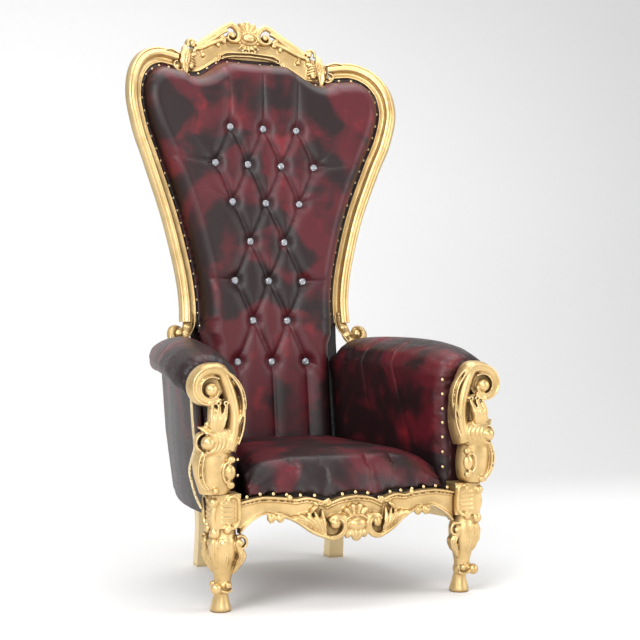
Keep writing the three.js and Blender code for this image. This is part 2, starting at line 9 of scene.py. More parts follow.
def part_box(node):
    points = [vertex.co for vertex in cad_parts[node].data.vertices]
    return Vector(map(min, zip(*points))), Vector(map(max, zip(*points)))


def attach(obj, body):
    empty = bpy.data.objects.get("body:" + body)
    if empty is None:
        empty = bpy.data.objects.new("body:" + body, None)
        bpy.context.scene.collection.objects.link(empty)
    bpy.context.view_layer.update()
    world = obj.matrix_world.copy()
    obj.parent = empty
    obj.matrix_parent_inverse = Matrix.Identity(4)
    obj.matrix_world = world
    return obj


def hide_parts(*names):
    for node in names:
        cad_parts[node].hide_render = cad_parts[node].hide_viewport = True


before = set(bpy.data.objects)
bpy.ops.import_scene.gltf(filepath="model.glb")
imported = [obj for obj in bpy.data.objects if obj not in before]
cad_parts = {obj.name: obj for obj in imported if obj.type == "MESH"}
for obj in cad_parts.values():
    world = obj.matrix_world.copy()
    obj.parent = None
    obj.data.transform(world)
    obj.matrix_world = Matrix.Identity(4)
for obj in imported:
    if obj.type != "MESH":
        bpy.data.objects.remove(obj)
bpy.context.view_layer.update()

# ----------------------------------------
# Rails and rear legs: plain square timber, gilded like the rest of the frame.
# The side rails run from the front legs back to the rear legs under the
# leather, and the dust cover is tacked up between them.

MM = 0.001
GOLD = (0.74, 0.53, 0.25, 1)
GOLD_BRIGHT = (1.0, 0.85, 0.54, 1)
# The deep brown that the gilding is darkened to in its hollows, as painted shade.
GOLD_SHADED = (0.15, 0.08, 0.028, 1)


def group_of(name, inputs, outputs):
    """An empty node group with these sockets, and its two end nodes."""
    group = bpy.data.node_groups.new(name, "ShaderNodeTree")
    for label, kind, default in inputs:
        socket = group.interface.new_socket(label, in_out="INPUT", socket_type=kind)
        socket.default_value = default
    for label, kind in outputs:
        group.interface.new_socket(label, in_out="OUTPUT", socket_type=kind)
    return group, group.nodes.new("NodeGroupInput"), group.nodes.new("NodeGroupOutput")


def node(tree, kind, links=(), **settings):
    """A node with these settings, and (socket, source or value) put into it."""
    made = tree.nodes.new(kind)
    for key, value in settings.items():
        setattr(made, key, value)
    for socket, source in links:
        if isinstance(source, bpy.types.NodeSocket):
            tree.links.new(source, made.inputs[socket])
        else:
            made.inputs[socket].default_value = source
    return made


def ramp(tree, source, stops):
    """A colour ramp over a value: stops are (position, grey)."""
    made = node(tree, "ShaderNodeMapRange", [("Value", source)], interpolation_type="SMOOTHSTEP")
    (low, first), (high, last) = stops
    for socket, value in zip(("From Min", "From Max", "To Min", "To Max"), (low, high, first, last)):
        made.inputs[socket].default_value = value
    return made.outputs["Result"]


def mix(tree, factor, a, b):
    """Colour a turned into b by a factor."""
    made = node(tree, "ShaderNodeMix", data_type="RGBA")
    for index, source in ((0, factor), (6, a), (7, b)):
        if isinstance(source, bpy.types.NodeSocket):
            tree.links.new(source, made.inputs[index])
        else:
            made.inputs[index].default_value = source
    return made.outputs[2]


def rubbed_gilding():
    """Gold leaf rubbed bright on the edges, with painted shade darkening the hollows, which are also a little
    rougher.
    """
    group, given, out = group_of(
        "rubbed gilding",
        [("Worn", "NodeSocketFloat", 0.5), ("Hollow Shade", "NodeSocketFloat", 0.8)],
        [("Color", "NodeSocketColor"), ("Roughness", "NodeSocketFloat"), ("Normal", "NodeSocketVector")],
    )
    place = node(group, "ShaderNodeTexCoord").outputs["Object"]
    bend = node(group, "ShaderNodeNewGeometry").outputs["Pointiness"]
    broad = node(group, "ShaderNodeTexNoise", [("Vector", place), ("Scale", 14.0), ("Detail", 6.0)])
    fine = node(group, "ShaderNodeTexNoise", [("Vector", place), ("Scale", 160.0), ("Detail", 4.0)])
    # Painted shade: hollows found by ambient occlusion and creases found by low pointiness darken the gold
    # towards the deep brown, scaled by the shade input. The same mask makes them rougher.
    shade = node(group, "ShaderNodeAmbientOcclusion", [("Distance", 0.022)], samples=6)
    hollow = ramp(group, shade.outputs["AO"], [(0.25, 1.0), (0.82, 0.0)])
    crease = ramp(group, bend, [(0.40, 1.0), (0.49, 0.0)])
    deep = node(group, "ShaderNodeMath", [(0, hollow), (1, crease)], operation="MAXIMUM").outputs[0]
    hollow_shading = node(group, "ShaderNodeMath", [(0, deep), (1, given.outputs["Hollow Shade"])], operation="MULTIPLY")
    edge = ramp(group, bend, [(0.52, 0.0), (0.60, 1.0)])
    rubbed = node(group, "ShaderNodeMath", [(0, edge), (1, given.outputs["Worn"])], operation="MULTIPLY")
    cloud = ramp(group, broad.outputs["Fac"], [(0.35, 0.0), (0.68, 0.45)])
    leaf_colour = mix(group, cloud, GOLD, (0.42, 0.262, 0.085, 1))
    bright = mix(group, rubbed.outputs[0], leaf_colour, GOLD_BRIGHT)
    group.links.new(mix(group, hollow_shading.outputs[0], bright, GOLD_SHADED), out.inputs["Color"])
    dull = ramp(group, fine.outputs["Fac"], [(0.3, 0.30), (0.7, 0.46)])
    rough = node(group, "ShaderNodeMath", [(0, hollow_shading.outputs[0]), (1, 0.34), (2, dull)],
                 operation="MULTIPLY_ADD")
    group.links.new(rough.outputs[0], out.inputs["Roughness"])
    brush = node(group, "ShaderNodeBump", [("Height", fine.outputs["Fac"]), ("Strength", 0.12),
                                           ("Distance", 0.002)])
    group.links.new(brush.outputs["Normal"], out.inputs["Normal"])
    return group


gilding_group = rubbed_gilding()


def new_finish(name, values):
    """A new material, with plain values set on its shader."""
    finish = bpy.data.materials.new(name)
    finish.use_nodes = True
    for socket, value in values.items():
        finish.node_tree.nodes["Principled BSDF"].inputs[socket].default_value = value
    return finish


def finish_from(name, group, given, values):
    """A material whose colour, roughness and relief come from a node group with these inputs."""
    finish = new_finish(name, values)
    tree = finish.node_tree
    effect = node(tree, "ShaderNodeGroup", given, node_tree=group)
    for socket, result in (("Base Color", "Color"), ("Roughness", "Roughness"), ("Normal", "Normal")):
        tree.links.new(effect.outputs[result], tree.nodes["Principled BSDF"].inputs[socket])
    return finish


def uneven_roughness(finish, scale, low, high):
    """Roughness that runs between two values in a fine noise of this scale."""
    tree = finish.node_tree
    place = node(tree, "ShaderNodeTexCoord").outputs["Object"]
    noise = node(tree, "ShaderNodeTexNoise", [("Vector", place), ("Scale", scale)])
    rough = ramp(tree, noise.outputs["Fac"], [(0.3, low), (0.7, high)])
    tree.links.new(rough, tree.nodes["Principled BSDF"].inputs["Roughness"])


def gilding(name, worn, hollow_shade, metallic=0.86):
    """The gilded finish, with its own share of wear and of painted shade in the hollows."""
    return finish_from(name, gilding_group, [("Worn", worn), ("Hollow Shade", hollow_shade)], {"Metallic": metallic})


# The last amount given to each gilding sets how strongly painted shade darkens its hollows.
gilt_plain = gilding("gilded timber", worn=0.5, hollow_shade=0.6)
gilt_carved = gilding("gilded carving", worn=0.9, hollow_shade=0.95)

timber = ["side_rail_left", "side_rail_right", "back_rail", "rear_leg_left", "rear_leg_right"]
for name in timber:
    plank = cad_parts[name]
    for slot in plank.material_slots:
        slot.material = gilt_plain
    eased = plank.modifiers.new("eased edges", "BEVEL")
    eased.width = 2.5 * MM
    eased.segments = 3
    eased.limit_method = "ANGLE"

cover = new_finish("black dust cover", {"Base Color": (0.018, 0.016, 0.016, 1), "Sheen Weight": 0.2})
uneven_roughness(cover, 900.0, 0.8, 0.98)
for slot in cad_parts["underside_board"].material_slots:
    slot.material = cover

# ----------------------------------------
# Front legs: turned and carved to the diagonal, the same on the front and on
# the outer face. Each has a flared foot, a ring of scrolls with small balls,
# an inverted fluted baluster, and a square block with a panel of ribs.

OUT = Vector((0, 0, 1))
MANY_FACES, FACES_KEPT = 30000, 0.7
LEG_X, LEG_Y, LEG_TOP, BLOCK = 350, -335, 311, 38.5
LEG_STATIONS = [
    (0, 27, -17), (8, 27.5, -17), (26, 23, -16), (46, 18.5, -14), (53, 19, -8), (60, 23, -4), (72, 25, -1),
    (80, 22, 0), (98, 24, 1), (126, 30.5, 2), (152, 37.5, 4), (184, 39, 4), (204, 34, 4), (214, 33,
                                                                                           4), (228, 33, 3),
]
# The working line of the frame, from which its depths are taken
line_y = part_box("underside_board")[0].y / MM + 310


def at(u, y, v):
    """A place in the row frame, from millimetres right, back from the working line, and up."""
    return Vector((u, y + line_y, v)) * MM


def along(points, t):
    """The place at t, from 0 to 1, on a smooth line through the points."""
    span = min(max(t, 0.0), 1.0) * (len(points) - 1)
    n = min(int(span), len(points) - 2)
    a, b, c, d = (Vector(points[max(0, min(len(points) - 1, n + k))]) for k in (-1, 0, 1, 2))
    s = span - n
    return 0.5 * (2 * b + (c - a) * s + (2 * a - 5 * b + 4 * c - d) * s**2 + (3 * b - a - 3 * c + d) * s**3)


def drawn(form, sides, frames):
    """A closed body drawn through a row of frames, each of which places a circle of radius 1."""
    ring = bmesh.ops.create_circle(form, cap_ends=True, radius=1, segments=sides)["verts"]
    cap = ring[0].link_faces[0]
    here = Matrix()
    for n, there in enumerate(frames):
        if n:
            grown = bmesh.ops.extrude_face_region(form, geom=[cap])["geom"]
            ring = [part for part in grown if isinstance(part, bmesh.types.BMVert)]
            cap = next(part for part in grown if isinstance(part, bmesh.types.BMFace))
        bmesh.ops.transform(form, matrix=there @ here.inverted(), verts=ring)
        here = there


def turned(form, stations, rings, sides):
    """A round or oval body. Stations are height, half width, half depth, and its centre across and out."""
    frames = []
    for step in range(rings + 1):
        t = step / rings
        height, wide, deep = along([s[:3] for s in stations], t)
        u, w, _ = along([(s[3], s[4], 0) for s in stations], t)
        frames.append(Matrix(((wide, 0, 0, u), (0, 0, 1, height), (0, deep, 0, w), (0, 0, 0, 1))))
    drawn(form, sides, frames)


def rib(form, points, half, sides=10, steps=24):
    """A bar drawn along a smooth line on the board. half(t) is half its width and half its depth."""
    frames = []
    for step in range(steps + 1):
        t = step / steps
        ahead = (along(points, t + 0.01) - along(points, t - 0.01)).normalized()
        across = ahead.cross(OUT).normalized()
        wide, deep = half(t)
        columns = (across * wide, across.cross(ahead) * deep, ahead)
        there = Matrix([list(row) for row in zip(*columns)]).to_4x4()
        there.translation = along(points, t)
        frames.append(there)
    drawn(form, sides, frames)


def bud(form, u, v, w, size, stretch=(1, 1, 1), fine=3):
    """A ball or an egg."""
    shape = Matrix.Translation((u, v, w)) @ Matrix.Diagonal((*stretch, 1))
    bmesh.ops.create_icosphere(form, subdivisions=fine, radius=size, matrix=shape)


def spiral(u, v, w, r0, r1, start, turn, count=12):
    """Points of a spiral round (u, v), in degrees."""
    points = []
    for n in range(count):
        t = n / (count - 1)
        angle = math.radians(start + turn * t)
        reach = r0 + (r1 - r0) * t
        points.append((u + reach * math.cos(angle), v + reach * math.sin(angle), w))
    return points


def panel(form, across, up, place, back):
    """A sheet shaped by place(i, j), with i and j from 0 to 1, and carried straight back to the board."""
    sheet = bmesh.ops.create_grid(form, x_segments=across, y_segments=up, size=0.5)["verts"]
    for corner in sheet:
        corner.co = place(corner.co.x + 0.5, corner.co.y + 0.5)
    faces = list({face for corner in sheet for face in corner.link_faces})
    grown = bmesh.ops.extrude_face_region(form, geom=faces)["geom"]
    for part in grown:
        if isinstance(part, bmesh.types.BMVert):
            part.co.z = back


def leaf(form, points, width, depth, flutes=3, curl=0.0, steps=26):
    """A carved leaf: it swells from its stem, is fluted along its length, and runs out to a tip."""
    def shape(i, j):
        middle = along(points, j)
        ahead = (along(points, j + 0.01) - along(points, j - 0.01)).normalized()
        side = ahead.cross(OUT).normalized()
        swell = math.sin(math.pi * (0.06 + 0.93 * j) ** 0.8) ** 0.75
        nick = 1 - 0.16 * abs(math.sin(3.5 * math.pi * j)) * abs(2 * i - 1)
        half = 0.5 * width * swell * nick
        s = 2 * i - 1
        dome = math.sqrt(max(0.0, 1 - s * s))
        flute = 0.75 + 0.25 * math.cos(2 * math.pi * flutes * i)
        return middle + side * half * s + OUT * (depth * swell * dome * flute + curl * s * s)
    back = min(point[2] for point in points) - 6
    panel(form, 6 * flutes + 2, steps, shape, back)


def scallop(form, u, v, back, start, turn, lobes, radii, depths, flatten=1.0):
    """A fan of rounded lobes round (u, v), like a shell."""
    inner, outer = radii
    low, high = depths

    def shape(i, j):
        angle = math.radians(start + turn * i)
        lobe = abs(math.sin(math.pi * lobes * i)) ** 0.7
        reach = inner + (outer * (0.84 + 0.16 * lobe) - inner) * j
        roll = math.sqrt(max(0.0, 1 - max(0.0, (j - 0.72) / 0.28) ** 2))
        height = (low + (high - low) * lobe * (0.35 + 0.65 * j)) * roll + back * (1 - roll)
        return Vector((u + reach * math.cos(angle), v + flatten * reach * math.sin(angle), height))
    panel(form, 10 * lobes, 12, shape, back)


def mesh_of(name, form):
    """The form as a smooth mesh."""
    mesh = bpy.data.meshes.new(name)
    form.to_mesh(mesh)
    form.free()
    mesh.shade_smooth()
    return mesh


def placed(name, data):
    """A new object in the scene."""
    made = bpy.data.objects.new(name, data)
    bpy.context.scene.collection.objects.link(made)
    return made


def fuse(name, form, voxel, rubs, place):
    """The forms run together into one carved surface, carried to its place in the chair."""
    bmesh.ops.recalc_face_normals(form, faces=form.faces)
    rough = placed(name, mesh_of(name, form))
    merged = rough.modifiers.new("one surface", "REMESH")
    merged.mode = "VOXEL"
    merged.voxel_size = voxel
    rubbed = rough.modifiers.new("rubbed down", "SMOOTH")
    rubbed.factor = 0.5
    rubbed.iterations = rubs
    seen = rough.evaluated_get(bpy.context.evaluated_depsgraph_get())
    carved = bpy.data.meshes.new_from_object(seen)
    bpy.data.objects.remove(rough)
    for corner in carved.vertices:
        corner.co = place(corner.co)
    carved.shade_smooth()
    return carved


def stand(name, mesh, material, slot, *nodes):
    """A finished piece of the chair, in place of these nodes."""
    piece = placed(name, mesh)
    mesh.materials.clear()
    mesh.materials.append(material)
    if len(mesh.polygons) > MANY_FACES:
        thinned = piece.modifiers.new("fewer faces", "DECIMATE")
        thinned.ratio = FACES_KEPT
    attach(piece, "root")
    if nodes:
        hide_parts(*nodes)
    return piece


def mirrored(mesh):
    """The same mesh for the other side of the chair."""
    other = mesh.copy()
    other.transform(Matrix.Diagonal((-1, 1, 1, 1)))
    other.flip_normals()
    return other


def stand_pair(name, mesh, material, slot):
    """The piece on the sitter's left, and its mirror image on the right, in place of both nodes."""
    other = mirrored(mesh)
    left = stand(f"carved_{name}_left", mesh, material, slot, f"{name}_left")
    right = stand(f"carved_{name}_right", other, material, slot, f"{name}_right")
    return left, right


def run_into(form, extra):
    """Add one form to another."""
    side = mesh_of("addition", extra)
    form.from_mesh(side)
    bpy.data.meshes.remove(side)


def across_diagonal(form, carve):
    """Carve the same forms on the front face and, turned over the diagonal, on the outer face."""
    for flipped in (False, True):
        face = bmesh.new()
        carve(face)
        if flipped:
            for corner in face.verts:
                corner.co = corner.co.zyx
        run_into(form, face)


def leg_face(form):
    """What is carved on one face of a front leg."""
    for n in range(5):
        rib(form, [(-19, 238 + 12 * n, BLOCK - 1), (13, 238 + 12 * n, BLOCK - 1)], lambda t: (4.4, 4),
            steps=6)
    rib(form, [(-2, 300, 36), (-16, 305, 40), (-30, 297, 40), (-33, 270, 40), (-32, 240, 40), (-20, 224, 40),
               (-6, 226, 40), (-6, 235, 40)], lambda t: (4 + 2 * math.sin(math.pi * t), 7), steps=36)
    bud(form, -4, 295, 38, 7)
    bud(form, -2, 219, 38, 11)
    bud(form, 9, 183, 37, 8)
    rib(form, spiral(-37, 183, 36, 20, 8, 60, 400), lambda t: (5 - 1.5 * t, 9), steps=34)
    bud(form, -37, 183, 42, 8)
    rib(form, spiral(9, 183, 34, 14, 12, 150, 300), lambda t: (3, 7), steps=26)
    leaf(form, [(-30, 172, 36), (-44, 150, 34), (-34, 126, 28), (-20, 100, 20)], 24, 12)
    leaf(form, [(0, 168, 38), (2, 140, 36), (0, 106, 22)], 22, 8, flutes=3)
    bud(form, -8, 74, 24, 9)
    rib(form, [(-20, 62, 20), (-8, 56, 22), (8, 60, 24), (18, 72, 24)], lambda t: (4, 5), steps=16)


leg_form = bmesh.new()
turned(leg_form, [(height, girth, girth, 0, lean) for height, girth, lean in LEG_STATIONS], 56, 48)
block = bmesh.ops.create_cube(leg_form, size=1)["verts"]
bmesh.ops.scale(leg_form, vec=(2 * BLOCK, LEG_TOP - 222, BLOCK + 23), verts=block)
bmesh.ops.translate(leg_form, vec=(0, (LEG_TOP + 222) / 2, (BLOCK - 23) / 2), verts=block)
across_diagonal(leg_form, leg_face)
bud(leg_form, 30, 211, 30, 15)
bud(leg_form, 24, 67, 22, 15)
bud(leg_form, 34, 290, 34, 14)
rib(leg_form, [(34, 276, 34), (37, 255, 37), (33, 232, 33)], lambda t: (9 - 3 * t, 9 - 3 * t), steps=14)
leaf(leg_form, [(30, 196, 30), (31, 160, 30), (22, 118, 22)], 26, 8)


def onto_leg(point):
    """A place on the leg's board, in the chair. Its foot is cut flat at the floor."""
    return at(LEG_X + point.x, LEG_Y - point.z, max(point.y, 0.0))


leg_mesh = fuse("front_leg", leg_form, 1.8, 2, onto_leg)
stand_pair("front_leg", leg_mesh, gilt_carved, "gilded_wood")

# ----------------------------------------
# Front rail: a bowed board with a wavy edge, sawn and carved. A lined moulding
# follows its top, acanthus fronds sweep into two volutes, and a shell stands
# over an oval boss and a hanging leaf in the middle.

RAIL_TOP = [(0, 296, 3), (40, 291, 3), (68, 280, 3), (78, 275, 3), (88, 283, 3), (127, 293, 3), (158, 289, 3),
            (183, 293, 3), (245, 298, 3), (285, 293, 3), (311, 288, 3)]
RAIL_FOOT = [(0, 196, 0), (40, 190, 0), (76, 184, 0), (100, 192, 0), (125, 207, 0), (158, 231, 0),
             (183, 244, 0),
             (214, 247, 0), (245, 250, 0), (272, 238, 0), (296, 220, 0), (311, 202, 0)]
RAIL_FACE, RAIL_BOW, RAIL_BOW_HALF = -362, 36, 210


def height_on(stations, u):
    """How high a smooth line through the stations is at a distance from the middle."""
    line = [along(stations, n / 120) for n in range(121)]
    return float(np.interp(abs(u), [p.x for p in line], [p.y for p in line]))


def mirror_forms(form, carve):
    """Carve the same forms on both halves of the board."""
    for hand in (1, -1):
        half = bmesh.new()
        carve(half)
        bmesh.ops.scale(half, vec=(hand, 1, 1), verts=half.verts)
        run_into(form, half)


def oval(u, v, w, wide, high, count=24):
    """Points of a closed oval."""
    turns = [2 * math.pi * n / count for n in range(count + 2)]
    return [(u + wide * math.cos(a), v + high * math.sin(a), w) for a in turns]


def rail_half(form):
    """What is carved on one half of the front rail."""
    for drop, w, half in ((3, 4, (3.4, 4.5)), (12, 0, (2, 3))):
        edge = [(u, v - drop, w) for u, v, _ in RAIL_TOP]
        rib(form, edge, lambda t, half=half: half, steps=90)
    rib(form, [(u, v + 3, 0) for u, v, _ in RAIL_FOOT[7:]], lambda t: (3, 4), steps=30)
    rib(form, spiral(79, 281, 4, 9, 3, 250, -330), lambda t: (2.6, 5), steps=20)
    rib(form, spiral(96, 280, 4, 9, 4, 150, 260), lambda t: (2.2, 4), steps=20)
    bud(form, 80, 281, 5, 5.5)
    bud(form, 177, 293, 6, 8)
    for u in (203, 228):
        bud(form, u, 241, 2, 10)
        rib(form, spiral(u, 241, 1, 13, 11, 60, 220), lambda t: (2.4, 6), steps=20)
    sweep = [(190, 247, 0), (150, 226, 3), (116, 203, 5)]
    rib(form, sweep + spiral(62, 222, 8, 38, 15, -60, -270), lambda t: (4 + 5 * math.sin(math.pi * t), 10),
        steps=70)
    rib(form, spiral(62, 222, 12, 31, 14, -80, -200), lambda t: (2.6, 9), steps=40)
    bud(form, 60, 223, 10, 14)
    for n in range(6):
        root = (82 + 9 * n, 190 + 7 * n, 3)
        tip = (92 + 19 * n, 262 - 4.5 * n, 4)
        middle = (90 + 12 * n, 222 + 3 * n, 12 - n)
        leaf(form, [root, middle, tip], 17, 11 - n, flutes=2)
    leaf(form, [(102, 270, 3), (116, 262, 9), (124, 246, 4)], 14, 8, flutes=2)
    leaf(form, [(10, 205, 4), (22, 196, 9), (26, 182, 3)], 22, 9, flutes=2)


rail_form = bmesh.new()
panel(rail_form, 180, 10, lambda i, j: Vector((
    622 * i - 311,
    height_on(RAIL_FOOT, 622 * i - 311) * (1 - j) + height_on(RAIL_TOP, 622 * i - 311) * j,
    -3 * math.sin(math.pi * j))), -30)
mirror_forms(rail_form, rail_half)
scallop(rail_form, 0, 228, -4, 4, 172, 6, (16, 50), (2, 16))
bud(rail_form, 0, 221, 10, 27, (1, 0.68, 0.62))
rib(rail_form, oval(0, 221, 8, 33, 24), lambda t: (3.2, 7), steps=60)
leaf(rail_form, [(0, 212, 4), (0, 197, 12), (0, 174, 5)], 44, 14, flutes=3)


def rail_y(u):
    """How far back the rail's face lies: it bows forward in the middle."""
    part = min(1.0, abs(u) / RAIL_BOW_HALF)
    return RAIL_FACE - RAIL_BOW * math.cos(math.pi / 2 * part) ** 2


def onto_rail(point):
    """A place on the rail's board, in the chair."""
    return at(point.x, rail_y(point.x) - point.z, point.y)


stand("carved_front_rail", fuse("carved_front_rail", rail_form, 2.0, 2, onto_rail), gilt_carved,
      "gilded_wood", "front_rail")

# ----------------------------------------
# Arm posts: a vase on the leg's block with a C-scroll beside it, a snail shell
# of nested crescents round a ball, a spray of leaf stalks, and a thick scroll
# that curls out over the end of the arm. Two thin blades edge the leather.

POST_FACE, POST_DEPTH = -385, 72
SCROLL_U, SCROLL_V = 394, 582


post_form = bmesh.new()
centre = -POST_DEPTH / 2
turned(post_form, [(311, 37, 35, 378, centre), (330, 46, 37, 376, centre), (370, 53, 38, 380, centre),
                   (405, 51, 38, 383, centre), (436, 42, 35, 378, centre)], 30, 40)
rib(post_form, [(346, 425, centre), (332, 468, centre), (330, 520, centre), (340, 570, centre)]
    + spiral(SCROLL_U, SCROLL_V, centre, 52, 24, 128, -262),
    lambda t: (26 - 12 * t**0.8, 36), sides=24, steps=80)
rib(post_form, [(322, 440, -1), (309, 478, -1), (306, 524, -1), (318, 584, -1)]
    + spiral(SCROLL_U, SCROLL_V, -1, 62, 34, 128, -262), lambda t: (2.8, 4), steps=80)
rib(post_form, spiral(SCROLL_U, SCROLL_V, -2, 34, 20, 128, -300), lambda t: (2.6, 5), steps=50)
turned(post_form, [(425, 22, 26, 376, centre), (556, 22, 26, 372, centre)], 2, 20)
bud(post_form, SCROLL_U, SCROLL_V, -4, 18)
bmesh.ops.create_cone(post_form, cap_ends=True, segments=40, radius1=32, radius2=32, depth=52,
                      matrix=Matrix.Translation((SCROLL_U, SCROLL_V, -42)))
bud(post_form, 404, 446, 2, 19)
for n in range(6):
    reach = 21 + 11.5 * n
    arc = [(404 - reach * math.sin(a), 446 + (24 + 3.2 * n) * math.cos(a), -1 - 3.5 * n)
           for a in [math.pi * k / 12 for k in range(-1, 14)]]
    rib(post_form, arc, lambda t: (2 + 4.5 * math.sin(math.pi * t), 13), steps=36)
for n in range(3):
    inner = spiral(408 - 2 * n, 446, -14 - 9 * n, 23 + 2 * n, 23 + 2 * n, -80, 160)
    rib(post_form, inner, lambda t: (3.4, 6), steps=20)
for root, tip in ((372, 352), (382, 372), (392, 391)):
    leaf(post_form, [(root, 474, 0), ((root + tip) / 2 + 2, 508, 7), (tip, 545, -2)], 19, 12, flutes=1)
    rib(post_form, spiral(tip + 4, 545, -2, 7, 3, 180, -260), lambda t: (2.2, 4), steps=16)
bud(post_form, 390, 528, -2, 9)
bud(post_form, 402, 492, -8, 9)
for inset, w in ((0, 0), (9, 4)):
    rib(post_form, [(408 - inset, 322, w - 12), (425 - inset, 352, w - 8), (427 - inset, 392, w - 6),
                    (416 - inset, 424, w - 8)], lambda t: (3, 8), steps=24)
rib(post_form, spiral(340, 399, 0, 11, 4, -60, 300)[::-1] + [(358, 392, 2), (366, 368, 3), (358, 344, 2)]
    + spiral(342, 337, 0, 11, 4, 60, -300), lambda t: (3.6, 7), steps=70)
bud(post_form, 340, 399, 2, 7)
bud(post_form, 342, 337, 2, 7)
bud(post_form, 345, 368, 0, 17, (0.9, 1.2, 0.5))
bud(post_form, 384, 322, 2, 9)
blade = [(326, 466, -14), (307, 505, -16), (300, 540, -18), (308, 582, -18), (330, 613, -16), (352, 628, -14)]
rib(post_form, blade, lambda t: (3.2, 14 * math.sin(math.pi * (0.1 + 0.85 * t))), steps=50)
blade = [(326, 480, -8), (312, 515, -8), (309, 548, -8), (318, 585, -10), (334, 604, -10)]
rib(post_form, blade, lambda t: (3.2, 12 * math.sin(math.pi * (0.1 + 0.85 * t))), steps=40)


def onto_post(point):
    """A place on the post's board, in the chair, clear of the leg under it."""
    return at(point.x, POST_FACE - point.z, max(point.y, LEG_TOP + 0.6))


stand_pair("arm_post", fuse("arm_post", post_form, 2.0, 2, onto_post), gilt_carved, "gilded_wood")

# ----------------------------------------
# Back stiles: one moulding each, run down from the crest over the shoulder to
# the waist: an outer fillet, a full round, a cove and a thin bead beside the
# leather. The foot winds outwards into a volute with a ball.

BACK_BEND, BACK_RAKE, BACK_Y, BACK_V = 700, 0.16, 390, 730
STILE = [(268, 765, 0), (268, 845, 0), (286, 956, 0), (332, 1119, 0), (399, 1282, 0), (438, 1364, 0),
         (464, 1446, 0), (467, 1500, 0), (452, 1554, 0), (412, 1603, 0), (352, 1630, 0), (276, 1629, 0)]
MOULDING_HALF = 27


def onto_back(point):
    """A place on the board of the back, bent round its drum and leant back."""
    turn = point.x / BACK_BEND
    reach = BACK_BEND - point.z
    y = BACK_Y + BACK_RAKE * (point.y - BACK_V) - BACK_BEND + reach * math.cos(turn)
    return at(reach * math.sin(turn), y, point.y)


def moulding_height(s):
    """How far the moulding stands out, from its inner edge at -1 to its outer edge at 1."""
    bead = math.sqrt(max(0.0, 1 - ((s + 0.86) / 0.13) ** 2)) * 5
    full = math.sqrt(max(0.0, 1 - ((s - 0.26) / 0.48) ** 2)) * 13
    fillet = math.sqrt(max(0.0, 1 - ((s - 0.87) / 0.12) ** 2)) * 4.5
    return 3.5 + max(bead, full, fillet) - 2.5 * math.exp(-((s + 0.45) / 0.2) ** 2)


def stile_place(i, j):
    """A place on the face of a stile, i along it and j across it from the inside out."""
    middle = along(STILE, i)
    ahead = (along(STILE, i + 0.004) - along(STILE, i - 0.004)).normalized()
    side = Vector((ahead.y, -ahead.x, 0))
    s = 2 * j - 1
    return middle + side * (MOULDING_HALF * s) + OUT * moulding_height(s)


stile_form = bmesh.new()
panel(stile_form, 240, 44, stile_place, -13.6)
rib(stile_form, [(267, 800, -3), (267, 768, -3)] + spiral(316, 730, -3, 34, 13, 190, 330),
    lambda t: (17 - 11 * t, 13), sides=16, steps=60)
rib(stile_form, [(250, 790, 6), (252, 752, 6)] + spiral(316, 730, 6, 40, 17, 205, 300), lambda t: (2.4, 5),
    steps=60)
bmesh.ops.create_cone(stile_form, cap_ends=True, segments=32, radius1=20, radius2=20, depth=22,
                      matrix=Matrix.Translation((316, 730, -9)))
bud(stile_form, 316, 730, 5, 13)
bmesh.ops.recalc_face_normals(stile_form, faces=stile_form.faces)
stile_mesh = mesh_of("back_stile", stile_form)
for corner in stile_mesh.vertices:
    corner.co = onto_back(corner.co)
stand_pair("back_stile", stile_mesh, gilt_plain, "gilded_wood")

# ----------------------------------------
# Crest rail: a plain shaped plate with carving laid along its top. Fluted horns
# rise from a scroll at each side and wind in over an eye; a shell, a palmette
# and an oval boss stand in the middle, and acanthus covers each shoulder joint.

CREST_HALF = 274


def ease(x, low, high):
    """A smooth step from 0 to 1 between two limits."""
    s = min(1.0, max(0.0, (x - low) / (high - low)))
    return s * s * (3 - 2 * s)


def crest_foot(u):
    """The lower edge of the crest plate."""
    return 1652 - 64 * ease(abs(u), 92, 226) + 14 * ease(abs(u), 232, 262)


def crest_head(u):
    """The upper edge of the crest plate, under the carving."""
    return 1742 - 66 * ease(abs(u), 60, 205) - 24 * ease(abs(u), 215, 250)


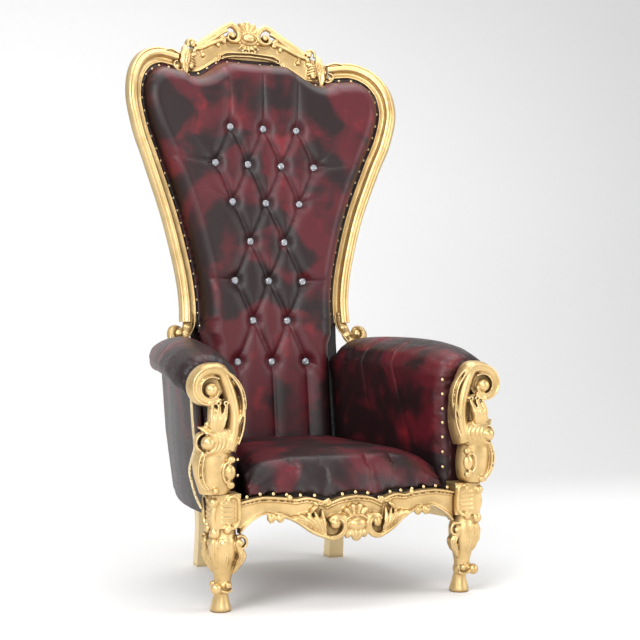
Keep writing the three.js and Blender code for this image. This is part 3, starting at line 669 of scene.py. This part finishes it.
def crest_half(form):
    """What is carved on one half of the crest."""
    horn = spiral(63, 742, 8, 35, 20, 80, 250)
    rib(form, [(198, 1690, 2), (165, 1712, 4), (130, 1737, 6)] + [(u, v + 1000, w) for u, v, w in horn],
        lambda t: (5 + 6 * math.sin(math.pi * min(1, t + 0.15)), 12), steps=80)
    rib(form, [(196, 1684, 2), (160, 1702, 5), (128, 1722, 7), (100, 1744, 8), (78, 1756, 8)],
        lambda t: (4.5 + 2 * t, 10), steps=40)
    rib(form, [(204, 1676, 2), (176, 1684, 4), (142, 1701, 5), (108, 1718, 6), (86, 1724, 6)],
        lambda t: (8.5 - 2 * t, 10), steps=40)
    rib(form, spiral(59, 1739, 6, 20, 9, 200, 330), lambda t: (3, 8), steps=40)
    bud(form, 59, 1739, 11, 9)
    for u, v, size in ((95, 1728, 11), (104, 1719, 9), (90, 1716, 9)):
        bud(form, u, v, 7, size, (1, 1, 0.8))
    bud(form, 111, 1701, 6, 8)
    bud(form, 172, 1659, 4, 9)
    rib(form, [(180, 1668, 2), (174, 1676, 4), (184, 1690, 3)], lambda t: (3, 6), steps=14)
    rib(form, spiral(215, 1692, 2, 18, 7, -40, 330), lambda t: (5, 12), steps=40)
    bud(form, 215, 1692, 8, 8)
    for u, v, size in ((207, 1668, 8), (214, 1652, 8), (222, 1610, 11), (204, 1655, 6)):
        bud(form, u, v, 6, size)
    for n in range(4):
        rib(form, [(240, 1648 - 8 * n, 4), (222, 1650 - 9 * n, 8), (206 - 2 * n, 1646 - 10 * n, 3)],
            lambda t: (4.5 - 2 * t, 7), steps=16)
    rib(form, [(92, 1660, 6), (60, 1667, 8), (0, 1671, 8), (-2, 1671, 8)], lambda t: (3.4, 6), steps=40)
    rib(form, [(100, 1668, 6), (86, 1676, 7), (50, 1680, 8), (0, 1683, 8), (-2, 1683, 8)], lambda t: (3, 6),
        steps=40)
    rib(form, spiral(100, 1660, 5, 9, 3, 90, -330), lambda t: (2.6, 6), steps=24)
    rib(form, [(108, 1652, 4), (132, 1640, 3), (158, 1622, 3), (190, 1603, 3), (222, 1597, 3),
               (252, 1606, 3)],
        lambda t: (3, 4), steps=50)
    rib(form, spiral(120, 1646, 4, 7, 3, 200, -300), lambda t: (2.2, 5), steps=16)
    bud(form, 36, 1765, 4, 8)
    rib(form, spiral(38, 1763, 2, 13, 10, 30, 200), lambda t: (2.6, 6), steps=16)
    leaf(form, [(252, 1604, 6), (246, 1640, 13), (240, 1684, 9)], 44, 14, flutes=4)
    leaf(form, [(248, 1652, 8), (251, 1608, 15), (247, 1566, 10)], 30, 12, flutes=1)
    rib(form, spiral(276, 1612, 4, 32, 9, 120, 330), lambda t: (5 - 2 * t, 10), steps=50)
    rib(form, [(270, 1650, 6), (300, 1658, 7), (330, 1650, 5), (342, 1640, 2)], lambda t: (4 - 2 * t, 7),
        steps=24)
    bud(form, 280, 1602, 8, 8)


crest_form = bmesh.new()
panel(crest_form, 150, 10, lambda i, j: Vector((
    CREST_HALF * (2 * i - 1),
    crest_foot(CREST_HALF * (2 * i - 1)) * (1 - j) + crest_head(CREST_HALF * (2 * i - 1)) * j, 2)), -14)
mirror_forms(crest_form, crest_half)
scallop(crest_form, 0, 1730, -12, 188, 164, 7, (14, 47), (3, 13), 0.92)
scallop(crest_form, 0, 1748, -14, 12, 156, 5, (8, 52), (4, 16))
bud(crest_form, 0, 1734, 10, 23, (1, 0.68, 0.62))
rib(crest_form, oval(0, 1734, 8, 29, 20.5), lambda t: (3, 7), steps=60)
for u in [-45 + 11.2 * n for n in range(9)]:
    bud(crest_form, u, 1730 - 45 * math.sqrt(max(0.0, 1 - (u / 46) ** 2)), 8, 4.2, fine=2)
stand("carved_crest_rail", fuse("carved_crest_rail", crest_form, 2.0, 2, onto_back), gilt_carved,
      "gilded_wood", "crest_rail")

# ----------------------------------------
# Leather: two-tone oxblood hide, burgundy rubbed over near-black brown in broad
# clouds, with a fine grain. The back is deep-buttoned over horsehair: the folds
# run from button to button, and the edge is nailed down flat beside the frame.

BURGUNDY = (0.085, 0.007, 0.012, 1)
BLACK_BROWN = (0.014, 0.0045, 0.0055, 1)
CHERRY = (0.20, 0.012, 0.018, 1)
TUFTING = [(1400, (0, 114)), (1278, (57, 169)), (1153, (0, 114)), (1025, (58,)),
           (898, (0, 115)), (770, (58,)), (638, (0, 115))]
CROWN, BETWEEN_ARMS = 27, 209


def clouded_hide():
    """The dye and the grain of the leather, with painted shade darkening its folds."""
    group, given, out = group_of(
        "clouded hide",
        [("Dark", "NodeSocketFloat", 0.5)],
        [("Color", "NodeSocketColor"), ("Roughness", "NodeSocketFloat"), ("Normal", "NodeSocketVector")],
    )
    place = node(group, "ShaderNodeTexCoord").outputs["Object"]
    clouds = node(group, "ShaderNodeTexNoise", [("Vector", place), ("Scale", 7.0), ("Detail", 3.0),
                                                ("Distortion", 0.5)])
    patches = node(group, "ShaderNodeTexNoise", [("Vector", place), ("Scale", 13.0), ("Detail", 4.0)])
    grain = node(group, "ShaderNodeTexVoronoi", [("Vector", place), ("Scale", 520.0)])
    pores = node(group, "ShaderNodeTexNoise", [("Vector", place), ("Scale", 240.0), ("Detail", 5.0)])
    shade = node(group, "ShaderNodeAmbientOcclusion", [("Distance", 0.06)], samples=6)
    tide = node(group, "ShaderNodeMath", [(0, clouds.outputs["Fac"]), (1, given.outputs["Dark"])],
                operation="SUBTRACT")
    rubbed = ramp(group, tide.outputs[0], [(-0.09, 0.0), (0.10, 1.0)])
    cherry = ramp(group, patches.outputs["Fac"], [(0.55, 0.0), (0.74, 0.75)])
    # Painted shade: where ambient occlusion finds a fold, the leather is darkened towards near-black.
    fold = ramp(group, shade.outputs["AO"], [(0.35, 0.85), (0.85, 0.0)])
    tone = mix(group, rubbed, BLACK_BROWN, mix(group, cherry, BURGUNDY, CHERRY))
    group.links.new(mix(group, fold, tone, (0.008, 0.003, 0.0035, 1)), out.inputs["Color"])
    group.links.new(ramp(group, pores.outputs["Fac"], [(0.3, 0.36), (0.7, 0.5)]), out.inputs["Roughness"])
    skin = node(group, "ShaderNodeMath", [(0, grain.outputs["Distance"]), (1, pores.outputs["Fac"])],
                operation="ADD")
    bump = node(group, "ShaderNodeBump", [("Height", skin.outputs[0]), ("Strength", 0.16),
                                          ("Distance", 0.001)])
    group.links.new(bump.outputs["Normal"], out.inputs["Normal"])
    return group


hide_group = clouded_hide()


def leather(name, dark):
    """Leather with its own share of the dark dye."""
    return finish_from(name, hide_group, [("Dark", dark)], {"Specular IOR Level": 0.4})


hide_inside = leather("oxblood leather", 0.5)
hide_outside = leather("dark oxblood leather", 0.58)

stile_edge = []
for n in range(121):
    ahead = (along(STILE, n / 120 + 0.004) - along(STILE, n / 120 - 0.004)).normalized()
    stile_edge.append(along(STILE, n / 120) + Vector((-ahead.y, ahead.x, 0)) * (MOULDING_HALF + 0.5))
waist = [(BETWEEN_ARMS, 380), (BETWEEN_ARMS, 690), (225, 735)]
opening = np.array(waist + [(p.x, p.y) for p in stile_edge if p.y > 765]
                   + [(u, crest_foot(u)) for u in range(272, -1, -8)])


def from_frame(u, v):
    """How far places on the back are inside the frame's edge; below zero they are under it."""
    here = np.stack([np.abs(u), v], axis=-1)[:, None, :]
    start, run = opening[:-1], opening[1:] - opening[:-1]
    part = np.clip(((here - start) * run).sum(-1) / (run * run).sum(-1), 0, 1)
    miss = here - (start + part[..., None] * run)
    span = np.hypot(miss[..., 0], miss[..., 1])
    nearest = span.argmin(axis=1)
    rows = np.arange(len(nearest))
    cross = run[nearest, 0] * miss[rows, nearest, 1] - run[nearest, 1] * miss[rows, nearest, 0]
    return span[rows, nearest] * np.sign(cross + 1e-9)


def fold_lines():
    """The folds of the leather as (from, to, depth at each end)."""
    folds = []
    rows = [(z, [s * x for x in places for s in ((-1, 1) if x else (1,))]) for z, places in TUFTING]
    for (z, row), (below, lower) in zip(rows, rows[1:]):
        folds += [((a, z), (b, below), 1.0, 1.0) for a in row for b in lower if abs(a - b) < 75]
    folds += [((x, 1400), (1.06 * x, 1640), 0.9, 0.25) for x in rows[0][1]]
    folds += [((x, 638), (x, 405), 0.9, 0.45) for x in rows[-1][1]]
    for side in (-1, 1):
        folds.append(((side * 169, 1278), (side * 330, 1292), 0.85, 0.2))
        folds.append(((side * 115, 898), (side * 236, 904), 0.85, 0.25))
        folds.append(((side * 114, 1153), (side * 214, 1196), 0.8, 0.0))
        folds.append(((side * 169, 1278), (side * 250, 1370), 0.6, 0.0))
        folds.append(((side * 115, 638), (side * 196, 600), 0.7, 0.1))
    return folds


def tufted_line(x, z):
    """How far back from the working line the buttons are drawn."""
    return 300 + 0.115 * (z - 638) - 0.0003 * x * x


def back_surface(u, v):
    """How far back the leather lies from the working line, at places on the back."""
    x = BACK_BEND * np.sin(u / BACK_BEND)
    buttons = np.array([(s * a, z) for z, places in TUFTING for a in places for s in (-1, 1)])
    to_button = np.hypot(x[:, None] - buttons[:, 0], v[:, None] - buttons[:, 1])
    near = to_button.min(axis=1)
    puff = np.ones_like(x)
    for (ax, az), (bx, bz), first, last in fold_lines():
        run = np.array((bx - ax, bz - az))
        part = np.clip(((x - ax) * run[0] + (v - az) * run[1]) / (run @ run), 0, 1)
        away = np.hypot(x - ax - part * run[0], v - az - part * run[1])
        dome = np.sqrt(1 - (1 - np.clip(away / 40, 0, 1)) ** 2)
        puff = np.minimum(puff, 1 - (first + (last - first) * part) * (1 - dome))
    puff = puff * (1 - np.exp(-((near / 22) ** 2)))
    base = 9 * (1 - np.exp(-((near / 26) ** 2)))
    rise = base + (CROWN - base) * puff
    turn = np.arctan2(v - buttons[to_button.argmin(axis=1), 1], x - buttons[to_button.argmin(axis=1), 0])
    rise = rise + 1.0 * np.sin(9 * turn) * np.exp(-near / 16) * np.clip(near / 8, 0, 1)
    tufted = tufted_line(x, v) - rise
    inside = from_frame(u, v)
    strip = 15 * np.clip((v - 730) / 40, 0, 1)
    roll = np.sqrt(1 - (1 - np.clip((inside - strip) / 58, 0, 1)) ** 2)
    welt = 2.4 * np.sqrt(np.clip(1 - ((inside - strip) / 3.2) ** 2, 0, 1)) * (v > 735)
    edge = BACK_Y + BACK_RAKE * (v - BACK_V) - BACK_BEND + (BACK_BEND - 3) * np.cos(u / BACK_BEND)
    return edge + (np.minimum(tufted, edge) - edge) * roll - welt, inside


back_form = bmesh.new()
sheet = bmesh.ops.create_grid(back_form, x_segments=184, y_segments=272, size=0.5)["verts"]
places = np.array([corner.co[:2] for corner in sheet]) + 0.5
across, up = 920 * places[:, 0] - 460, 386 + 1282 * places[:, 1]
depth, inside = back_surface(across, up)
for corner, u, v, y in zip(sheet, across, up, depth):
    corner.co = at(BACK_BEND * math.sin(u / BACK_BEND), y, v)
hidden = [corner for corner, e in zip(sheet, inside) if e < -7]
bmesh.ops.delete(back_form, geom=hidden, context="VERTS")
front = list(back_form.faces)
behind = bmesh.ops.extrude_face_region(back_form, geom=front)["geom"]
for part in behind:
    if isinstance(part, bmesh.types.BMVert):
        u = BACK_BEND * math.asin(part.co.x / MM / BACK_BEND)
        part.co = onto_back(Vector((u, part.co.z / MM, -7)))
bmesh.ops.recalc_face_normals(back_form, faces=back_form.faces)
tufted_back = stand("tufted_back", mesh_of("tufted_back", back_form), hide_inside, "leather", "inside_back")

# ----------------------------------------
# Buttons: clear cut crystals, one at each crossing of the folds, drawn in tight.
# Each sits in a thin cup of silver foil that throws the light back out.

crystal = new_finish("cut crystal", {
    "Base Color": (0.96, 0.97, 1.0, 1), "Transmission Weight": 0.85, "IOR": 1.56})
uneven_roughness(crystal, 90.0, 0.02, 0.09)
foil = new_finish("silver foil", {"Base Color": (0.93, 0.94, 0.96, 1), "Metallic": 1.0, "Roughness": 0.3})
GEM_BACK_TILT = math.radians(90 + 6.6)

gem_form, foil_form = bmesh.new(), bmesh.new()
gem_nodes = []
for row, (z, places) in enumerate(TUFTING):
    spots = sorted(s * x for x in places for s in ((-1, 1) if x else (1,)))
    for n, x in enumerate(spots):
        y = tufted_line(x, z)
        facing = Matrix.Rotation(GEM_BACK_TILT, 4, "X")
        for low, high, deep, lift in ((11, 11, 2.2, 5.9), (11, 6.4, 4.0, 9.0), (3.0, 11, 3.4, 3.1)):
            spot = Matrix.Translation(at(x, y - lift, z)) @ facing
            bmesh.ops.create_cone(gem_form, cap_ends=True, segments=10, radius1=low * MM, radius2=high * MM,
                                  depth=deep * MM, matrix=spot)
        cup = Matrix.Translation(at(x, y - 2.9, z)) @ facing
        bmesh.ops.create_cone(foil_form, cap_ends=True, segments=20, radius1=4 * MM, radius2=11.6 * MM,
                              depth=3.7 * MM, matrix=cup)
        gem_nodes.append(f"button_{row + 1}_{n + 1}")
for name, form, finish, nodes in (("crystal_buttons", gem_form, crystal, gem_nodes),
                                  ("crystal_foils", foil_form, foil, [])):
    cut = mesh_of(name, form)
    cut.shade_flat()
    stand(name, cut, finish, "crystal", *nodes)

# ----------------------------------------
# Stuffed pieces: the seat rolls over the front rail, and each arm is a padded
# stem with a fat roll on top. The leather is blown up a little over its
# stuffing and pulled into creases where it is nailed.

PRESSURE, MOMENTS = 4, 20


def stuffed(name, source, voxel, cap):
    """The leather over a CAD solid: shrunk, remeshed, swelled as cloth, with each point's move capped."""
    form = bmesh.new()
    form.from_mesh(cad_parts[source].data)
    bmesh.ops.remove_doubles(form, verts=form.verts, dist=1e-5)
    bmesh.ops.recalc_face_normals(form, faces=form.faces)
    pad = placed(name, mesh_of(name, form))
    remesh = pad.modifiers.new("even hide", "REMESH")
    remesh.mode = "VOXEL"
    remesh.voxel_size = voxel
    ease_in = pad.modifiers.new("soft edges", "SMOOTH")
    ease_in.factor = 0.6
    ease_in.iterations = 10
    seen = pad.evaluated_get(bpy.context.evaluated_depsgraph_get())
    even = bpy.data.meshes.new_from_object(seen)
    pad.modifiers.clear()
    pad.data = even
    start = np.array([corner.co[:] for corner in even.vertices])
    blown = pad.modifiers.new("stuffing", "CLOTH")
    blown.settings.use_pressure = True
    blown.settings.uniform_pressure_force = PRESSURE
    blown.settings.effector_weights.gravity = 0
    blown.settings.quality = 3
    blown.point_cache.frame_end = MOMENTS
    for moment in range(1, MOMENTS + 1):
        bpy.context.scene.frame_set(moment)
    swelled = pad.evaluated_get(bpy.context.evaluated_depsgraph_get()).to_mesh()
    end = np.array([corner.co[:] for corner in swelled.vertices])
    pad.modifiers.clear()
    bpy.context.scene.frame_set(1)
    move = end - start
    size = np.linalg.norm(move, axis=1, keepdims=True)
    start = start + move * np.minimum(1, cap / np.maximum(size, 1e-9))
    for corner, place in zip(even.vertices, start):
        corner.co = place
    fine = pad.modifiers.new("fine hide", "SUBSURF")
    fine.levels = fine.render_levels = 1
    seen = pad.evaluated_get(bpy.context.evaluated_depsgraph_get())
    finished = bpy.data.meshes.new_from_object(seen)
    bpy.data.objects.remove(pad)
    finished.shade_smooth()
    return finished


def crease(mesh, sink):
    """Move each point of a pad inwards along its normal by sink(place), both in millimetres."""
    moves = [corner.normal * (sink(corner.co / MM) * MM) for corner in mesh.vertices]
    for corner, move in zip(mesh.vertices, moves):
        corner.co -= move


def seat_creases(place):
    """Puckers over the nails of the front rail and folds drawn to the front corners."""
    x, y, z = place.x, place.y - line_y, place.z
    pucker = 2.4 * (0.5 + 0.5 * math.cos(2 * math.pi * x / 37)) * math.exp(-((z - 300) / 16) ** 2) * (y < -330)
    corner = math.hypot(abs(x) - 292, (y + 350) * 0.6)
    fan = math.atan2(z - 310, 292 - abs(x) + 1)
    pull = 3.2 * (0.5 + 0.5 * math.sin(13 * fan)) * math.exp(-corner / 60) * (y < -270)
    fold = 2.5 * math.exp(-((abs(x) - 246 + 0.25 * (z - 330)) / 7) ** 2) * math.exp(-((y + 372) / 40) ** 2)
    return pucker + pull + fold


seat_mesh = stuffed("seat_pad", "seat", 0.0075, 0.012)
crease(seat_mesh, seat_creases)
seat_pad = stand("seat_pad", seat_mesh, hide_inside, "leather", "seat")


def arm_creases(place):
    """Pleats gathered round the end of the roll, and two creases down the inner face."""
    x, y, z = place.x, place.y - line_y, place.z
    turn = math.atan2(z - 600, x - 380)
    gather = 2.6 * (0.5 + 0.5 * math.sin(16 * turn)) * math.exp(-(y + 311) / 34) * (z > 500)
    inner = 0.0
    for top, drift in ((-40, 0.42), (110, 0.28)):
        line = top - drift * (690 - z)
        inner += 3.4 * math.exp(-((y - line) / 6) ** 2) * (x < 330) * (z > 430) * min(1, (z - 430) / 160)
    hem = 2.0 * (0.5 + 0.5 * math.cos(2 * math.pi * z / 42)) * math.exp(-((y + 305) / 16) ** 2) * (x < 330)
    return gather + inner + hem


arm_mesh = stuffed("arm_pad", "arm_pad_left", 0.0075, 0.009)
crease(arm_mesh, arm_creases)
for pad in stand_pair("arm_pad", arm_mesh, hide_inside, "leather"):
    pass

# ----------------------------------------
# Outside leather: flat panels over the back and the outer sides of the arms,
# stretched over a thin wadding, with rounded edges turned in and nailed.

for name in ("outside_back", "arm_outside_left", "arm_outside_right"):
    form = bmesh.new()
    form.from_mesh(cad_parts[name].data)
    bmesh.ops.remove_doubles(form, verts=form.verts, dist=1e-5)
    bmesh.ops.dissolve_limit(form, angle_limit=math.radians(1), verts=form.verts, edges=form.edges)
    rims = [line for line in form.edges if line.calc_face_angle(0) > math.radians(40)]
    bmesh.ops.bevel(form, geom=rims, offset=1.8 * MM, segments=3, profile=0.5, affect="EDGES", material=-1)
    bmesh.ops.triangulate(form, faces=form.faces)
    bmesh.ops.subdivide_edges(form, edges=form.edges, cuts=2, use_grid_fill=True)
    outer = stand(f"{name}_leather", mesh_of(name, form), hide_outside, "leather", name)

# ----------------------------------------
# Nails and braid: small bright domed nails hold the edge of the leather round
# the back, along the front rail and up the posts, and a twisted gold cord
# covers the outer edge of each arm panel.

brass = gilding("bright nail heads", worn=1.0, hollow_shade=0.15, metallic=1.0)
NAIL_HEAD, NAIL_DOME, NAIL_GAP, RAIL_NAIL_GAP = 4.6, 0.55, 42, 36.5
nail_form = bmesh.new()


def nail(place, facing):
    """A domed nail head, sitting on the leather and facing out."""
    turn = Vector(facing).to_track_quat("Z", "Y").to_matrix().to_4x4()
    dome = Matrix.Translation(place) @ turn @ Matrix.Diagonal((1, 1, NAIL_DOME, 1))
    bmesh.ops.create_uvsphere(nail_form, u_segments=10, v_segments=7, radius=NAIL_HEAD * MM, matrix=dome)


def evenly(points, gap):
    """Places a gap apart along a line of points."""
    spots, left = [], gap / 2
    for a, b in zip(points, points[1:]):
        a, b = Vector(a), Vector(b)
        span = (b - a).length
        while left <= span:
            spots.append(a.lerp(b, left / span))
            left += gap
        left -= span
    return spots


edge_line = [(u - 8 * (v < 1590), v - 7 * (v > 1560)) for u, v in opening[2:]]
for u, v in evenly(edge_line, NAIL_GAP):
    for side in (-1, 1):
        nail(onto_back(Vector((side * u, v, 3.5))), (-side * math.sin(u / BACK_BEND), -1, 0.16))
for n in range(-8, 9):
    u = RAIL_NAIL_GAP * n
    nail(at(u, rail_y(u) + 1, height_on(RAIL_TOP, u) + 8), (0, -1, 0.35))
post_edge = [(296, 330), (298, 400), (296, 460), (276, 505), (270, 545), (276, 590), (298, 622)]
for u, v in evenly(post_edge, NAIL_GAP):
    for side in (-1, 1):
        nail(at(side * max(u, 302), -313, v), (-side * 0.4, -1, 0))
stand("nail_heads", mesh_of("nail_heads", nail_form), brass, "nails")

braid_form = bmesh.new()
braid_line = [(398, 268, -4), (413, 300, -4), (425, 340, -4), (430, 370, -4), (424, 400, -4), (416, 430, -4),
              (420, 470, -4), (424, 520, -4), (426, 556, -4)]
turns = 22
for strand in range(3):
    twist = []
    for n in range(turns * 8 + 1):
        t = n / (turns * 8)
        middle = along(braid_line, t)
        angle = 2 * math.pi * (turns * t + strand / 3)
        twist.append((middle.x + 2.2 * math.cos(angle), middle.y, middle.z + 2.2 * math.sin(angle)))
    rib(braid_form, twist, lambda t: (2.1, 2.1), sides=6, steps=turns * 8)
bmesh.ops.recalc_face_normals(braid_form, faces=braid_form.faces)
braid_mesh = mesh_of("braid", braid_form)
for corner in braid_mesh.vertices:
    corner.co = at(corner.co.x, -308 - corner.co.z, corner.co.y)
stand("braid_left", braid_mesh, gilt_carved, "gilded_wood")
stand("braid_right", mirrored(braid_mesh), gilt_carved, "gilded_wood")

# ----------------------------------------
# The room: a pale floor that turns up into a wall, a large soft window light
# from the left, a fill from the right and a little light on the gilding.


def soft_light(name, place, aim, size, power, colour=(1, 1, 1)):
    """A square soft light at a place, turned to what it lights."""
    lamp = bpy.data.lights.new(name, "AREA")
    lamp.size = size
    lamp.energy = power
    lamp.color = colour
    made = placed(name, lamp)
    made.location = place
    made.rotation_euler = (Vector(aim) - Vector(place)).to_track_quat("-Z", "Y").to_euler()
    return made


room = bmesh.new()
bmesh.ops.create_grid(room, x_segments=1, y_segments=1, size=7)
edge = max(room.edges, key=lambda line: (line.verts[0].co.y + line.verts[1].co.y))
wall = bmesh.ops.extrude_edge_only(room, edges=[edge])["geom"]
bmesh.ops.translate(room, vec=(0, 0, 8), verts=[part for part in wall if isinstance(part,
                                                                                    bmesh.types.BMVert)])
bmesh.ops.translate(room, vec=(0, -3.5, 0), verts=room.verts)
bmesh.ops.bevel(room, geom=[edge], offset=1.6, segments=16, profile=0.5, affect="EDGES", material=-1)
backdrop = placed("floor_and_wall", mesh_of("floor_and_wall", room))
paper = new_finish("white paper", {"Base Color": (0.86, 0.86, 0.86, 1), "Roughness": 0.9})
backdrop.data.materials.append(paper)

middle = (0, 0, 0.95)
lights = [
    soft_light("window", (-2.6, -2.6, 2.9), middle, 2.2, 120),
    soft_light("fill", (2.9, -2.0, 1.7), middle, 2.4, 52),
    soft_light("overhead", (0.2, 0.2, 3.4), middle, 2.6, 60),
    soft_light("glint", (-0.6, -3.6, 1.2), middle, 1.2, 26),
]

world = bpy.data.worlds.new("studio")
bpy.context.scene.world = world
world.use_nodes = True
world.node_tree.nodes["Background"].inputs["Color"].default_value = (1, 1, 1, 1)
world.node_tree.nodes["Background"].inputs["Strength"].default_value = 0.55

lens = bpy.data.cameras.new("camera")
lens.lens = 67.76
lens.sensor_width = 36
camera = placed("camera", lens)
camera.location = at(-1249, -3364, 713)
heading, pitch = math.radians(21.145), math.radians(0.88)
camera.rotation_euler = (math.pi / 2 + pitch, 0, -heading)
bpy.context.scene.camera = camera
bpy.context.scene.view_settings.view_transform = "Standard"
